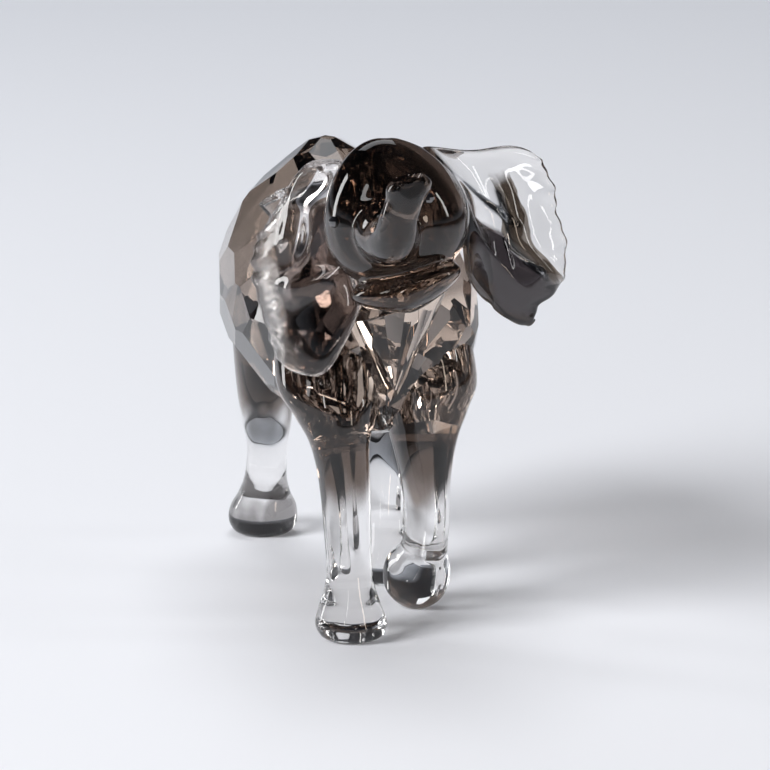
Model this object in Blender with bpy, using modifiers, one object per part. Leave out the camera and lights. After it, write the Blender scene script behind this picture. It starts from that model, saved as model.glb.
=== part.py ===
"""Crystal elephant figurine: a walking elephant assembled from cut and polished glass pieces.

The elephant faces -Y and stands on z = 0. Sizes are in millimetres times MM, and every piece is
modelled where it stands. Pieces are bonded: each leg and the head sit on a flat ground seat with an
adhesive film in the joint, the ears stand in slots, and the eyes and the tail stand in sockets.
"""

import math

import bmesh
import bpy
from mathutils import Euler, Matrix, Vector

MM = 0.001

# Driving dimensions, in millimetres
JOINT_GAP = 0.3  # between two bonded pieces
FILM_THICKNESS = 0.2  # adhesive film that stands in the joint gap
FILM_SHARE = 0.86  # the film stops short of the seat's rim
HEAD_CENTRE = (-0.2, -9.0, 94.2)
HEAD_YAW, HEAD_PITCH, HEAD_ROLL = -23.0, -4.0, -16.0  # degrees; the head looks to its own right
DOME_RADII = (15.0, 14.6, 15.8)
DOME_TAPER = 0.19  # how much narrower the crown is than the cheeks
DOME_BACK = 1.7  # the dome's back half is stretched towards the neck
SEAT_DEPTH = 7.0  # the head's back face, behind the head's centre
SEAT_BOTTOM = -21.2  # the neck's ledge under the jaw, from the head's centre
CROWN_FACETS = (-58, -34, -12, 10, 30, 54)  # degrees from upright, ground along the crown
CROWN_LEAN, CROWN_DEPTH = 14, 0.945  # how far they lean back, and how deep they cut
EAR_THICKNESS = 2.6
EYE_RADIUS = 1.25
EYE_PLACE = (10.3, -10.2, 1.3)  # on the dome, from the head's centre
HEAD_VOXEL = 1.35
SMOOTHING = 4  # passes that blend the trunk and the jaw into the dome

# Torso: the facets are ground tangent to these ellipsoids (centre, radii)
BARREL = [
    ((1.5, 21, 65), (23.2, 18, 25.0)),
    ((0.4, 46, 66), (27.3, 45, 26.0)),
    ((-1, 69, 66), (23.6, 23, 25.0)),
    ((-1, 60, 82.5), (11, 21, 17.0)),
]
# Where the facets lie: degrees from the chest pole over a long ellipsoid, and how many in the ring
BARREL_SHAPE = (26, 44, 28)
BARREL_RINGS = [
    (0, 1),
    (17, 6),
    (33, 10),
    (48, 13),
    (62, 14),
    (76, 14),
    (90, 14),
    (104, 14),
    (118, 14),
    (132, 13),
    (147, 10),
    (163, 6),
    (180, 1),
]
NECK = [
    ((1, 6, 89), (12.4, 11, 11.5)),
    ((0.5, 27, 78), (15, 15, 14.5)),
    ((2, 6, 74), (11.5, 12, 9)),
    ((1.2, 5, 57), (3, 9.5, 6)),
]
NECK_SHAPE = (13, 13, 22)
NECK_RINGS = [(0, 1), (24, 6), (42, 10), (60, 14), (80, 18), (150, 8), (180, 1)]
CHEST_FAN = 30  # long facets that run down the chest, between the last two ellipsoids of the neck

# Each leg, from inside the torso to its sole: centre x, y, z, half widths across and along, and the
# degrees that the section leans back. The seat is the place in the list where the leg is bonded on;
# it faces down the leg unless it has its own facing.
LEGS = {
    "front_right": {
        "seat": 3.2,
        "stations": [
            (-9.5, 18.0, 66.0, 11.5, 13.0, 0),
            (-10.6, 9.0, 54.0, 11.2, 12.4, 0),
            (-9.9, 5.0, 47.8, 8.8, 10.2, 0),
            (-9.4, 2.6, 42.6, 6.6, 7.6, 0),
            (-8.8, 1.4, 36.7, 5.7, 6.5, 0),
            (-8.4, 0.6, 30.0, 5.3, 5.9, 0),
            (-8.2, -0.4, 22.0, 5.0, 5.5, 0),
            (-8.0, -1.3, 14.5, 4.9, 5.3, 0),
            (-8.0, -1.8, 10.0, 5.7, 6.0, 0),
            (-8.0, -2.0, 6.0, 7.1, 7.1, 0),
            (-7.9, -2.0, 3.2, 7.8, 7.8, 0),
            (-7.8, -2.0, 1.0, 7.0, 7.0, 0),
            (-7.8, -2.0, 0.0, 5.6, 5.6, 0),
        ],
    },
    "front_left": {
        "seat": 3.0,
        "stations": [
            (10.5, 20.0, 66.0, 11.5, 13.0, 0),
            (12.6, 16.5, 53.0, 11.0, 12.2, 0),
            (12.0, 14.6, 46.5, 9.5, 10.4, 0),
            (11.6, 13.4, 41.0, 7.7, 8.4, 0),
            (11.6, 12.6, 36.0, 6.4, 7.2, 0),
            (11.9, 12.8, 29.5, 5.4, 6.3, 0),
            (12.4, 14.0, 22.8, 5.0, 5.7, 0),
            (12.4, 15.8, 16.0, 5.0, 5.4, 12),
            (11.8, 17.0, 12.4, 5.8, 6.0, 28),
            (11.3, 18.2, 9.4, 7.1, 7.2, 44),
            (11.1, 19.8, 7.0, 7.5, 7.4, 52),
            (11.1, 21.2, 5.6, 7.0, 7.0, 56),
            (11.1, 21.7, 5.1, 6.0, 6.0, 58),
        ],
    },
    "rear_right": {
        "seat": 2.2,
        "facing": (-0.42, 0.16, -0.89),
        "stations": [
            (-10.5, 68.0, 66.0, 12.0, 15.0, 0),
            (-12.3, 71.0, 56.0, 9.2, 13.6, 0),
            (-13.0, 74.5, 48.0, 7.7, 11.4, 0),
            (-12.9, 77.5, 40.0, 6.8, 9.2, 0),
            (-12.0, 81.0, 31.0, 6.1, 7.4, 0),
            (-11.2, 84.4, 22.7, 4.9, 5.6, 0),
            (-11.2, 87.2, 15.5, 4.9, 5.4, 0),
            (-11.3, 89.2, 10.5, 6.0, 6.4, 0),
            (-11.4, 90.3, 6.4, 7.9, 8.0, 0),
            (-11.4, 90.6, 3.2, 8.2, 8.2, 0),
            (-11.4, 90.6, 1.0, 7.3, 7.3, 0),
            (-11.4, 90.6, 0.0, 5.9, 5.9, 0),
        ],
    },
    "rear_left": {
        "seat": 2.5,
        "facing": (0.42, -0.1, -0.89),
        "stations": [
            (10.5, 62.0, 66.0, 12.0, 15.0, 0),
            (11.8, 60.0, 56.0, 9.2, 13.6, 0),
            (11.4, 57.0, 48.0, 7.7, 11.4, 0),
            (10.6, 53.5, 40.0, 6.8, 9.2, 0),
            (9.8, 50.5, 31.0, 6.1, 7.4, 0),
            (9.1, 47.4, 22.7, 4.9, 5.6, 0),
            (8.7, 45.4, 15.5, 4.9, 5.4, 0),
            (8.5, 44.2, 10.5, 6.0, 6.4, 0),
            (8.4, 43.5, 6.4, 7.7, 7.8, 0),
            (8.4, 43.4, 3.2, 8.0, 8.0, 0),
            (8.4, 43.4, 1.0, 7.1, 7.1, 0),
            (8.4, 43.4, 0.0, 5.7, 5.7, 0),
        ],
    },
}
RINGS_PER_STATION, LEG_SEGMENTS = 2, 20
STUB_OVERLAP = 1.5  # how far the torso's shoulder or hip is lofted past the seat before it is ground
SEAT_MARGIN = 0.7  # the seat is ground this much wider than the leg

# Trunk and tail: x, y, z and radius along the centreline; the trunk's are from the head's centre
TRUNK = [
    (-0.2, -4.0, -2.4, 9.0),
    (0.6, -12.0, -3.4, 7.3),
    (2.4, -18.0, -4.6, 5.5),
    (4.4, -22.2, -3.4, 4.6),
    (6.6, -25.0, -0.2, 4.0),
    (9.0, -25.9, 3.2, 3.8),
    (10.0, -25.9, 5.0, 4.2),
]
TAIL = [
    (0.2, 85.0, 84.0, 2.2),
    (0.4, 92.5, 81.0, 2.1),
    (0.9, 96.5, 75.0, 1.7),
    (1.5, 97.5, 66.5, 1.3),
    (1.6, 96.7, 58.5, 1.5),
    (1.2, 95.5, 52.5, 2.3),
    (0.9, 94.5, 49.0, 1.2),
]
JAW_CENTRE, JAW_RADII, JAW_KEEL = (-0.4, -4.0, -14.8), (12.2, 10.2, 3.6), 3.0

# The line of each ear that stands in the head, from the head's centre (mirrored for the right ear),
# from the top edge down; then the posed sheet, row by row, each from the root side out to the margin.
EAR_ROOT = [
    (6.4, 3.4, 13.0),
    (10.6, 3.4, 7.0),
    (12.6, 3.2, 1.0),
    (12.8, 2.8, -5.0),
    (12.2, 2.4, -10.5),
    (11.6, 2.0, -14.5),
    (11.6, 1.6, -18.0),
]
EARS = {
    "left": [
        [(14.4, 3.4, 105.2), (21.0, 4.6, 104.4), (28.3, 7.0, 105.8), (36.0, 10.5, 102.8)],
        [(17.4, 1.6, 99.2), (24.2, 2.4, 98.0), (32.0, 6.5, 97.4), (39.8, 11.0, 95.4)],
        [(20.4, -0.4, 92.4), (26.1, -0.4, 91.0), (34.0, 5.5, 89.2), (41.8, 11.0, 88.4)],
        [(21.6, -2.2, 86.0), (26.8, -3.6, 84.4), (35.0, 2.0, 82.0), (43.6, 8.5, 81.0)],
        [(21.8, -1.8, 79.8), (27.0, -4.0, 77.4), (33.8, -1.4, 75.2), (41.2, 5.2, 74.8)],
        [(22.0, -0.8, 75.2), (26.6, -2.0, 72.2), (31.2, -0.8, 71.0), (35.0, 2.4, 71.8)],
        [(22.4, 0.0, 72.0), (26.4, -0.6, 68.6), (30.4, 0.4, 66.0), (33.8, 2.0, 67.2)],
    ],
    "right": [
        [(-11.8, 3.6, 104.0), (-15.0, 7.4, 103.2), (-16.8, 10.6, 97.8), (-19.8, 14.0, 93.0)],
        [(-14.6, 4.2, 97.0), (-17.4, 7.6, 95.4), (-19.8, 12.0, 92.2), (-24.2, 16.6, 88.6)],
        [(-15.6, 3.6, 89.6), (-18.2, 7.0, 87.8), (-21.4, 12.0, 86.0), (-26.8, 18.0, 83.6)],
        [(-15.8, 2.2, 83.0), (-18.6, 5.4, 81.0), (-22.0, 11.4, 79.4), (-27.6, 18.0, 77.8)],
        [(-15.2, 0.4, 76.6), (-18.2, 3.0, 74.4), (-21.4, 9.0, 72.8), (-26.6, 16.6, 71.4)],
        [(-13.6, -3.2, 70.2), (-17.2, -0.2, 67.6), (-20.8, 5.0, 65.8), (-24.8, 12.0, 64.2)],
        [(-11.4, -6.2, 61.8), (-14.8, -5.0, 57.2), (-18.8, 0.6, 58.0), (-22.8, 8.0, 57.6)],
    ],
}

COLOURS = {
    "smoky_crystal": ((0.30, 0.26, 0.24, 1.0), 0.02),
    "clear_crystal": ((0.86, 0.87, 0.88, 1.0), 0.02),
    "jet_stone": ((0.02, 0.02, 0.02, 1.0), 0.08),
    "adhesive_film": ((0.90, 0.88, 0.84, 1.0), 0.10),
}


def clear_scene():
    for obj in list(bpy.data.objects):
        bpy.data.objects.remove(obj)


def collection(name, helper=False):
    made = bpy.data.collections.new(name)
    bpy.context.scene.collection.children.link(made)
    made.hide_render = helper
    return made


def crystal(name):
    """A Principled material with the piece's colour and polish."""
    if name in bpy.data.materials:
        return bpy.data.materials[name]
    material = bpy.data.materials.new(name)
    material.use_nodes = True
    colour, roughness = COLOURS[name]
    shader = material.node_tree.nodes["Principled BSDF"]
    shader.inputs["Base Color"].default_value = colour
    shader.inputs["Roughness"].default_value = roughness
    shader.inputs["Metallic"].default_value = 0.0
    return material


def object_from(bm, name, where):
    """A new object that holds the bmesh, with its faces pointing out."""
    bmesh.ops.recalc_face_normals(bm, faces=bm.faces)
    mesh = bpy.data.meshes.new(name)
    bm.to_mesh(mesh)
    bm.free()
    obj = bpy.data.objects.new(name, mesh)
    where.objects.link(obj)
    return obj


def applied(obj, weld=0.00002):
    """Replaces an object, and its modifiers, by the mesh that they make, in world space."""
    bpy.context.view_layer.update()
    graph = bpy.context.evaluated_depsgraph_get()
    mesh = bpy.data.meshes.new_from_object(obj.evaluated_get(graph))
    mesh.transform(obj.matrix_world)
    bm = bmesh.new()
    bm.from_mesh(mesh)
    bmesh.ops.remove_doubles(bm, verts=bm.verts, dist=weld)
    bm.to_mesh(mesh)
    bm.free()
    name, homes = obj.name, list(obj.users_collection)
    bpy.data.objects.remove(obj)
    made = bpy.data.objects.new(name, mesh)
    for home in homes:
        home.objects.link(made)
    return made


def combine(target, operation, other):
    """Boolean of two closed meshes, applied; the other object is used up."""
    modifier = target.modifiers.new("combine", "BOOLEAN")
    modifier.operation = operation
    modifier.object = other
    modifier.solver = "EXACT"
    made = applied(target)
    bpy.data.objects.remove(other)
    return made


def cut_plane(obj, point, normal):
    """Grinds away everything on the normal's side of a plane, and leaves a flat face."""
    bm = bmesh.new()
    bm.from_mesh(obj.data)
    geometry = bm.verts[:] + bm.edges[:] + bm.faces[:]
    cut = bmesh.ops.bisect_plane(bm, geom=geometry, plane_co=point, plane_no=normal, clear_outer=True)
    rim = [part for part in cut["geom_cut"] if isinstance(part, bmesh.types.BMEdge)]
    if rim:
        bmesh.ops.contextual_create(bm, geom=rim)
    bmesh.ops.recalc_face_normals(bm, faces=bm.faces)
    bm.to_mesh(obj.data)
    bm.free()
    return obj


def grown(obj, by, where):
    """A copy whose surface stands out by a clearance, to cut a slot with."""
    copy = bpy.data.objects.new(obj.name + "_cutter", obj.data.copy())
    where.objects.link(copy)
    displace = copy.modifiers.new("clearance", "DISPLACE")
    displace.mid_level = 0.0
    displace.strength = by
    return applied(copy)


def support(direction, balls):
    """How far a plane square to the direction lies when it touches the hull of the ellipsoids."""
    return max(
        Vector(centre).dot(direction) + Vector(a * b for a, b in zip(radii, direction)).length
        for centre, radii in balls
    )


def facet_directions(rings, shape, axis):
    """Facet normals, ring after ring over an ellipsoid; every second ring is staggered."""
    turn = Vector((0, 0, 1)).rotation_difference(Vector(axis))
    for index, (angle, count) in enumerate(rings):
        for step in range(count):
            around = 2 * math.pi * (step + 0.5 * (index % 2)) / count
            tilt = math.radians(angle)
            place = turn @ Vector(
                (math.sin(tilt) * math.sin(around), -math.sin(tilt) * math.cos(around), math.cos(tilt))
            )
            yield Vector(share / radius for share, radius in zip(place, shape)).normalized()


def faceted_hull(name, balls, rings, shape, axis, where):
    """A block ground to flat facets, each tangent to the hull of the ellipsoids."""
    bm = bmesh.new()
    bmesh.ops.create_cube(bm, size=400 * MM)
    block = object_from(bm, name, where)
    for direction in facet_directions(rings, shape, axis):
        cut_plane(block, direction * support(direction, balls) * MM, direction)
    return block


def fan_directions(upper, lower, count):
    """Normals of planes that each touch both ellipsoids, all the way round; the widths vary a little."""
    for step in range(count):
        around = 2 * math.pi * (step + 0.25 * math.sin(2.4 * step)) / count
        low, high = math.radians(60), math.radians(150)
        for _ in range(30):
            tilt = (low + high) / 2
            out = Vector(
                (math.sin(tilt) * math.sin(around), -math.sin(tilt) * math.cos(around), math.cos(tilt))
            )
            if support(out, [upper]) > support(out, [lower]):
                low = tilt
            else:
                high = tilt
        yield out


def spline(values, place):
    """Catmull-Rom through rows of numbers, at a place from 0 to the last row's index."""
    low = min(int(place), len(values) - 2)
    share = place - low
    near = [values[max(0, min(len(values) - 1, low + k))] for k in (-1, 0, 1, 2)]
    weights = (
        -0.5 * share + share**2 - 0.5 * share**3,
        1 - 2.5 * share**2 + 1.5 * share**3,
        0.5 * share + 2 * share**2 - 1.5 * share**3,
        -0.5 * share**2 + 0.5 * share**3,
    )
    return [sum(w * row[k] for w, row in zip(weights, near)) for k in range(len(values[0]))]


def limb(name, stations, where, wider=0.0):
    """A column lofted through elliptical sections, closed at both ends."""
    bm = bmesh.new()
    rings = []
    count = (len(stations) - 1) * RINGS_PER_STATION
    for ring in range(count + 1):
        x, y, z, rx, ry, lean = spline(stations, ring / RINGS_PER_STATION)
        tilt = Matrix.Rotation(math.radians(lean), 3, "X")
        corners = []
        for step in range(LEG_SEGMENTS):
            around = 2 * math.pi * step / LEG_SEGMENTS
            out = Vector(((rx + wider) * math.cos(around), (ry + wider) * math.sin(around), 0))
            corners.append(bm.verts.new((Vector((x, y, z)) + tilt @ out) * MM))
        rings.append(corners)
    for upper, lower in zip(rings, rings[1:]):
        for step in range(LEG_SEGMENTS):
            after = (step + 1) % LEG_SEGMENTS
            bm.faces.new((upper[step], lower[step], lower[after], upper[after]))
    bm.faces.new(rings[0])
    bm.faces.new(rings[-1])
    return object_from(bm, name, where)


def seat_of(leg):
    """The seat's centre, the direction down the leg, and the leg's half widths there."""
    here = spline(leg["stations"], leg["seat"])
    before, after = (Vector(spline(leg["stations"], leg["seat"] + step)[:3]) for step in (-0.5, 0.5))
    facing = Vector(leg.get("facing", after - before))
    return Vector(here[:3]) * MM, facing.normalized(), here[3:5]


def shoulder_and_room(name, leg, where):
    """What the torso gains above a leg's seat, and what is ground away below the seat."""
    centre, down, _ = seat_of(leg)
    gained = limb("shoulder_" + name, leg["stations"], where)
    cut_plane(gained, centre + down * STUB_OVERLAP * MM, down)
    room = limb("room_" + name, leg["stations"], where, wider=SEAT_MARGIN)
    cut_plane(room, centre, -down)
    return gained, room


def disc(name, centre, normal, radii, thickness, where):
    """A thin elliptical film, square to the normal."""
    bm = bmesh.new()
    bmesh.ops.create_cone(bm, cap_ends=True, segments=28, radius1=MM, radius2=MM, depth=thickness)
    bmesh.ops.scale(bm, vec=(radii[0], radii[1], 1), verts=bm.verts)
    turn = Vector((0, 0, 1)).rotation_difference(normal).to_matrix().to_4x4()
    bmesh.ops.transform(bm, matrix=Matrix.Translation(centre) @ turn, verts=bm.verts)
    return object_from(bm, name, where)


def tube(name, route, where, resolution=5):
    """A curve with a radius at each point, as a closed mesh."""
    curve = bpy.data.curves.new(name, "CURVE")
    curve.dimensions = "3D"
    curve.bevel_depth = MM
    curve.bevel_resolution = 4
    curve.resolution_u = resolution
    curve.use_fill_caps = True
    line = curve.splines.new("BEZIER")
    line.bezier_points.add(len(route) - 1)
    for point, (x, y, z, radius) in zip(line.bezier_points, route):
        point.co = Vector((x, y, z)) * MM
        point.radius = radius
        point.handle_left_type = point.handle_right_type = "AUTO"
    obj = bpy.data.objects.new(name, curve)
    where.objects.link(obj)
    return applied(obj)


def head_frame():
    angles = Euler([math.radians(a) for a in (HEAD_PITCH, HEAD_ROLL, HEAD_YAW)], "XYZ")
    yaw = Matrix.Rotation(angles.z, 4, "Z")
    pitch = Matrix.Rotation(angles.x, 4, "X")
    roll = Matrix.Rotation(angles.y, 4, "Y")
    return Matrix.Translation(Vector(HEAD_CENTRE) * MM) @ yaw @ pitch @ roll


def ball(name, centre, radii, where, segments=32, rings=20):
    bm = bmesh.new()
    bmesh.ops.create_uvsphere(bm, u_segments=segments, v_segments=rings, radius=1.0)
    bmesh.ops.scale(bm, vec=Vector(radii) * MM, verts=bm.verts)
    bmesh.ops.translate(bm, vec=Vector(centre) * MM, verts=bm.verts)
    return object_from(bm, name, where)


def head_form(where):
    """Dome, trunk and jaw blended into one polished form, then ground flat at the back."""
    dome = ball("dome", (0, 0, 0), DOME_RADII, where)
    for vertex in dome.data.vertices:
        share = vertex.co.z / (DOME_RADII[2] * MM)
        vertex.co.x *= 1 - DOME_TAPER * share
        vertex.co.y *= (1 - 0.5 * DOME_TAPER * share) * (DOME_BACK if vertex.co.y > 0 else 1)
    jaw = ball("jaw", JAW_CENTRE, JAW_RADII, where)
    for vertex in jaw.data.vertices:
        across = abs(vertex.co.x) / (JAW_RADII[0] * MM)
        vertex.co.z -= JAW_KEEL * MM * (1 - across) * (0.4 if vertex.co.z > JAW_CENTRE[2] * MM else 1.0)
    trunk = tube("trunk", TRUNK, where)
    head = combine(combine(dome, "UNION", trunk), "UNION", jaw)
    remesh = head.modifiers.new("blend", "REMESH")
    remesh.mode = "VOXEL"
    remesh.voxel_size = HEAD_VOXEL * MM
    smooth = head.modifiers.new("polish", "SMOOTH")
    smooth.factor = 0.5
    smooth.iterations = SMOOTHING
    head = applied(head)
    for angle in CROWN_FACETS:
        around, lean = math.radians(angle), math.radians(CROWN_LEAN)
        out = Vector((math.sin(around), math.tan(lean), math.cos(around)))
        out.normalize()
        cut_plane(head, out * support(out, [((0, 0, 0), DOME_RADII)]) * CROWN_DEPTH * MM, out)
    cut_plane(head, (0, SEAT_DEPTH * MM, 0), (0, 1, 0))
    head.data.transform(head_frame())
    head.name = "head"
    return head


def ear_form(side, sign, where):
    """A thick waved sheet: a coarse grid given thickness, then subdivided."""
    frame = head_frame()
    bm = bmesh.new()
    grid = []
    for (x, y, z), row in zip(EAR_ROOT, EARS[side]):
        points = [frame @ (Vector((sign * x, y, z)) * MM)] + [Vector(point) * MM for point in row]
        grid.append([bm.verts.new(point) for point in points])
    for upper, lower in zip(grid, grid[1:]):
        for column in range(len(upper) - 1):
            bm.faces.new((upper[column], lower[column], lower[column + 1], upper[column + 1]))
    ear = object_from(bm, "ear_" + side, where)
    thick = ear.modifiers.new("thickness", "SOLIDIFY")
    thick.thickness = EAR_THICKNESS * MM
    thick.offset = 0.0
    subdivide = ear.modifiers.new("form", "SUBSURF")
    subdivide.levels = subdivide.render_levels = 2
    return applied(ear)


def finish(obj, name, material, where):
    """Names a piece, gives it its material and files it under the figurine."""
    obj.name = name
    obj.data.name = name
    obj.data.materials.clear()
    obj.data.materials.append(crystal(material))
    for home in list(obj.users_collection):
        home.objects.unlink(obj)
    where.objects.link(obj)
    return obj


def centre_on_origin(pieces):
    """Moves the whole figurine so that its footprint's middle is the origin."""
    corners = [vertex.co for piece in pieces for vertex in piece.data.vertices]
    low = Vector(min(c[k] for c in corners) for k in range(3))
    high = Vector(max(c[k] for c in corners) for k in range(3))
    shift = Matrix.Translation((-(low.x + high.x) / 2, -(low.y + high.y) / 2, -low.z))
    for piece in pieces:
        piece.data.transform(shift)


def build():
    clear_scene()
    figurine = collection("crystal_elephant")
    helpers = collection("cutters", helper=True)
    frame = head_frame()

    ears = {side: ear_form(side, sign, helpers) for side, sign in (("left", 1), ("right", -1))}
    head = head_form(helpers)
    for ear in ears.values():
        head = combine(head, "DIFFERENCE", grown(ear, JOINT_GAP * MM, helpers))
    eyes = {}
    for side, sign in (("left", 1), ("right", -1)):
        place = frame @ (Vector((sign * EYE_PLACE[0], EYE_PLACE[1], EYE_PLACE[2])) * MM)
        eyes[side] = ball("eye_" + side, place / MM, [EYE_RADIUS] * 3, helpers, segments=10, rings=7)
        socket = ball("socket", place / MM, [EYE_RADIUS + JOINT_GAP] * 3, helpers, segments=20, rings=12)
        head = combine(head, "DIFFERENCE", socket)

    torso = faceted_hull("torso", BARREL, BARREL_RINGS, BARREL_SHAPE, (0, -1, 0), helpers)
    neck = faceted_hull("neck", NECK, NECK_RINGS, NECK_SHAPE, (0, 0, 1), helpers)
    for direction in fan_directions(NECK[2], NECK[3], CHEST_FAN):
        cut_plane(neck, direction * support(direction, NECK) * MM, direction)
    torso = combine(torso, "UNION", neck)
    rooms = []
    for name, leg in LEGS.items():
        gained, room = shoulder_and_room(name, leg, helpers)
        torso = combine(torso, "UNION", gained)
        rooms.append(room)
    for room in rooms:
        torso = combine(torso, "DIFFERENCE", room)
    front, top = 60.0, 40.0
    bm = bmesh.new()
    bmesh.ops.create_cube(bm, size=1.0)
    bmesh.ops.scale(bm, vec=Vector((2 * front, front, top - SEAT_BOTTOM)) * MM, verts=bm.verts)
    middle = Vector((0, SEAT_DEPTH + JOINT_GAP - front / 2, (top + SEAT_BOTTOM) / 2)) * MM
    bmesh.ops.translate(bm, vec=middle, verts=bm.verts)
    bmesh.ops.transform(bm, matrix=frame, verts=bm.verts)
    torso = combine(torso, "DIFFERENCE", object_from(bm, "neck_seat", helpers))

    tail = tube("tail", TAIL, helpers, resolution=3)
    socket = [(x, y, z, TAIL[0][3] + JOINT_GAP) for x, y, z, _ in TAIL[:2]]
    step = Vector(socket[0][:3]) - Vector(socket[1][:3])
    deeper = tuple(Vector(socket[0][:3]) + step.normalized() * JOINT_GAP) + (socket[0][3],)
    further = tuple(Vector(socket[1][:3]) - step * 0.6) + (socket[0][3],)
    torso = combine(torso, "DIFFERENCE", tube("tail_socket", [deeper, socket[1], further], helpers))

    pieces = [finish(torso, "torso", "smoky_crystal", figurine)]
    pieces.append(finish(head, "head", "smoky_crystal", figurine))
    for side, ear in ears.items():
        pieces.append(finish(ear, "ear_" + side, "smoky_crystal", figurine))
        pieces.append(finish(eyes[side], "eye_" + side, "jet_stone", figurine))
    for name, leg in LEGS.items():
        centre, down, widths = seat_of(leg)
        body = limb("leg_" + name, leg["stations"], helpers)
        cut_plane(body, centre + down * JOINT_GAP * MM, -down)
        cut_plane(body, (0, 0, 0), (0, 0, -1))
        pieces.append(finish(body, "leg_" + name, "clear_crystal", figurine))
        middle = centre + down * 0.5 * JOINT_GAP * MM
        reach = [FILM_SHARE * half for half in widths]
        film = disc("film", middle, down, reach, FILM_THICKNESS * MM, helpers)
        pieces.append(finish(film, "bond_leg_" + name, "adhesive_film", figurine))
    pieces.append(finish(tail, "tail", "smoky_crystal", figurine))
    middle = frame @ (Vector((0, SEAT_DEPTH + 0.5 * JOINT_GAP, 0)) * MM)
    back = (frame.to_3x3() @ Vector((0, 1, 0))).normalized()
    film = disc("film", middle, back, (9.5, 9.5), FILM_THICKNESS * MM, helpers)
    pieces.append(finish(film, "bond_neck", "adhesive_film", figurine))
    centre_on_origin(pieces)


build()
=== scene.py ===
"""Crystal elephant figurine: the looks, built around the CAD frame.

Every glass piece is made again here with a finer surface, in millimetres in the elephant's own
coordinates (it faces -Y and stands on z = 0), and stands for its CAD node. The bonded faces of two
pieces reach into each other by a hair, as glass that is bonded shows no air gap.
"""

import math

import bmesh
import bpy
import numpy as np
from mathutils import Matrix, Vector
from mathutils.bvhtree import BVHTree


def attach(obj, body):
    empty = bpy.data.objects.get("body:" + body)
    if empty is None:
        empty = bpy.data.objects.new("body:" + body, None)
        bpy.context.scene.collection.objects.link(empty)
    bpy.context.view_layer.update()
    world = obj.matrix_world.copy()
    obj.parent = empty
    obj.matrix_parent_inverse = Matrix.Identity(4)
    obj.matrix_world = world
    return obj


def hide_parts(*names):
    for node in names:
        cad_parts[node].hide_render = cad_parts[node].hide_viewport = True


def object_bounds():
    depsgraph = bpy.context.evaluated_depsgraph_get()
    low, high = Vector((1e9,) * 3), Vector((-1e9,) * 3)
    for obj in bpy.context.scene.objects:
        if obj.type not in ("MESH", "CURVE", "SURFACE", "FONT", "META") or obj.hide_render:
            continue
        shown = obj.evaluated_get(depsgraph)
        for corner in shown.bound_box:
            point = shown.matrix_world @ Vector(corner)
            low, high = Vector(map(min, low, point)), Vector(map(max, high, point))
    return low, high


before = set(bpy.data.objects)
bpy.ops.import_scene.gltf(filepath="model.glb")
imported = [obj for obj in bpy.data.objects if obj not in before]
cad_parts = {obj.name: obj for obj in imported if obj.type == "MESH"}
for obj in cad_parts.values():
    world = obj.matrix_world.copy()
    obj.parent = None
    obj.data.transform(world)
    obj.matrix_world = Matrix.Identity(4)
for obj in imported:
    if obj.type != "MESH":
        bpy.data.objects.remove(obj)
cad_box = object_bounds()
SHIFT = Vector((-7.5646, -29.7988, 0.0))  # from the elephant's coordinates to the row frame, in mm

MM = 0.001

# The CAD model's driving dimensions, in millimetres
HEAD_CENTRE = (-0.2, -9.0, 94.2)
HEAD_YAW, HEAD_PITCH, HEAD_ROLL = -23.0, -4.0, -16.0  # degrees; the head looks to its own right
DOME_RADII = (15.0, 14.6, 15.8)
DOME_TAPER = 0.19  # how much narrower the crown is than the cheeks
DOME_BACK = 1.7  # the dome's back half is stretched towards the neck
SEAT_DEPTH = 7.0  # the head's back face, behind the head's centre
SEAT_BOTTOM = -21.2  # the neck's ledge under the jaw, from the head's centre
CROWN_FACETS = (-58, -34, -12, 10, 30, 54)  # degrees from upright, ground along the crown
CROWN_LEAN, CROWN_DEPTH = 14, 0.945  # how far they lean back, and how deep they cut
EAR_THICKNESS = 2.6
EYE_RADIUS = 1.25
EYE_PLACE = (10.3, -10.2, 1.3)  # on the dome, from the head's centre

# Torso: the facets are ground tangent to these ellipsoids (centre, radii)
BARREL = [
    ((1.5, 21, 65), (23.2, 18, 25.0)),
    ((0.4, 46, 66), (27.3, 45, 26.0)),
    ((-1, 69, 66), (23.6, 23, 25.0)),
    ((-1, 60, 82.5), (11, 21, 17.0)),
]
# Where the facets lie: degrees from the chest pole over a long ellipsoid, and how many in the ring
BARREL_SHAPE = (26, 44, 28)
BARREL_RINGS = [
    (0, 1),
    (17, 6),
    (33, 10),
    (48, 13),
    (62, 14),
    (76, 14),
    (90, 14),
    (104, 14),
    (118, 14),
    (132, 13),
    (147, 10),
    (163, 6),
    (180, 1),
]
NECK = [
    ((1, 6, 89), (12.4, 11, 11.5)),
    ((0.5, 27, 78), (15, 15, 14.5)),
    ((2, 6, 74), (11.5, 12, 9)),
    ((1.2, 5, 57), (3, 9.5, 6)),
]
NECK_SHAPE = (13, 13, 22)
NECK_RINGS = [(0, 1), (24, 6), (42, 10), (60, 14), (80, 18), (150, 8), (180, 1)]

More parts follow.
